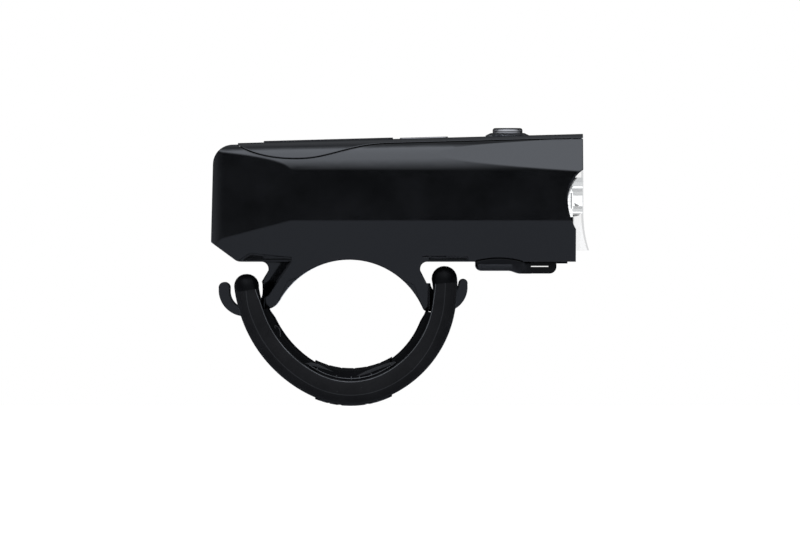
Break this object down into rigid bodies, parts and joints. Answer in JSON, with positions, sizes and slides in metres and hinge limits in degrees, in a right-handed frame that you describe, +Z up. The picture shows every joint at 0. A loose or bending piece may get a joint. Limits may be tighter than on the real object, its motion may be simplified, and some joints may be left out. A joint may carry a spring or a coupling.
{
  "type": "bike headlight",
  "caption": "Compact rechargeable bicycle headlight with a faceted black body, clear wraparound lens, top button and rubber strap hooked under a handlebar saddle.",
  "frame": {"origin": "axis of the handlebar saddle under the lamp, midway across it, which is the centre of a 32 mm handlebar that the lamp sits on", "axes": "+X forward along the beam, +Y along the handlebar to the lamp's left, +Z up away from the handlebar"},
  "size_m": [0.0756, 0.032, 0.0556],
  "materials": {
    "board_green": "solder-masked board",
    "cell_sleeve": "shrink sleeve",
    "chip_black": "moulded package",
    "clear_lens": "clear polished polycarbonate",
    "connector_white": "moulded",
    "dark_cover": "fine satin dark grey plastic",
    "ferrite": "moulded powder core",
    "flap_rubber": "smooth matt black rubber",
    "flex_amber": "polyimide strip",
    "foam": "closed-cell foam",
    "gloss_black": "glossy moulded black plastic",
    "grey_seal": "soft seal",
    "inlay": "matt black blank panel",
    "lead_red": "insulated wire",
    "led_board_white": "white coated aluminium board",
    "led_phosphor": "yellow phosphor",
    "reflector_chrome": "bright metallised bowl",
    "screw_steel": "plated",
    "sink_aluminium": "plain extruded",
    "smoke_clear": "smoke-tinted clear plastic",
    "strap_rubber": "smooth matt black silicone rubber"
  },
  "bodies": {
    "lamp": {"housing": "gloss_black", "top_cover": "dark_cover", "cover_gasket": "grey_seal", "top_inlay": "inlay", "gauge_window": "smoke_clear", "front_lens": "clear_lens", "lens_gasket": "grey_seal", "reflector": "reflector_chrome", "led_board": "led_board_white", "led_emitter": "led_phosphor", "heat_sink": "sink_aluminium", "optic_screws": "screw_steel", "battery_cell": "cell_sleeve", "battery_pads": "foam", "battery_guard_board": "board_green", "battery_leads": "lead_red", "battery_connector": "connector_white", "main_board": "board_green", "board_screws": "screw_steel", "driver_chip": "chip_black", "driver_inductor": "ferrite", "gauge_leds": "led_phosphor", "led_leads": "lead_red", "tact_switch": "chip_black", "button_collar": "smoke_clear", "usb_board": "board_green", "usb_board_screws": "screw_steel", "usb_receptacle": "screw_steel", "board_link": "flex_amber", "port_cover_anchor": "flap_rubber"},
    "power_button": {"power_button": "smoke_clear"},
    "switch_plunger": {"switch_plunger": "connector_white"},
    "port_cover": {"port_cover": "flap_rubber"},
    "handlebar_strap": {"handlebar_strap": "strap_rubber"}
  },
  "joints": [
    {"name": "power_button_press", "type": "slide", "parent": "lamp", "child": "power_button", "axis": [0, 0, -1], "range_m": [0, 0.0005], "stiffness_N_per_m": 500},
    {"name": "switch_plunger_press", "type": "slide", "parent": "lamp", "child": "switch_plunger", "axis": [0, 0, -1], "range_m": [0, 0.0005]},
    {"name": "port_cover_swing", "type": "hinge", "parent": "lamp", "child": "port_cover", "pos_m": [0.0332, 0, 0.01422], "axis": [0, -1, 0], "range_deg": [0, 110], "stiffness_Nm_per_rad": 0.002},
    {"name": "strap_stretch", "type": "slide", "parent": "lamp", "child": "handlebar_strap", "axis": [0, 0, -1], "range_m": [0, 0.01], "stiffness_N_per_m": 1500, "deforming": ["handlebar_strap"]}
  ],
  "couplings": [
    {"joint": "switch_plunger_press", "follows": "power_button_press", "ratio": 1}
  ]
}
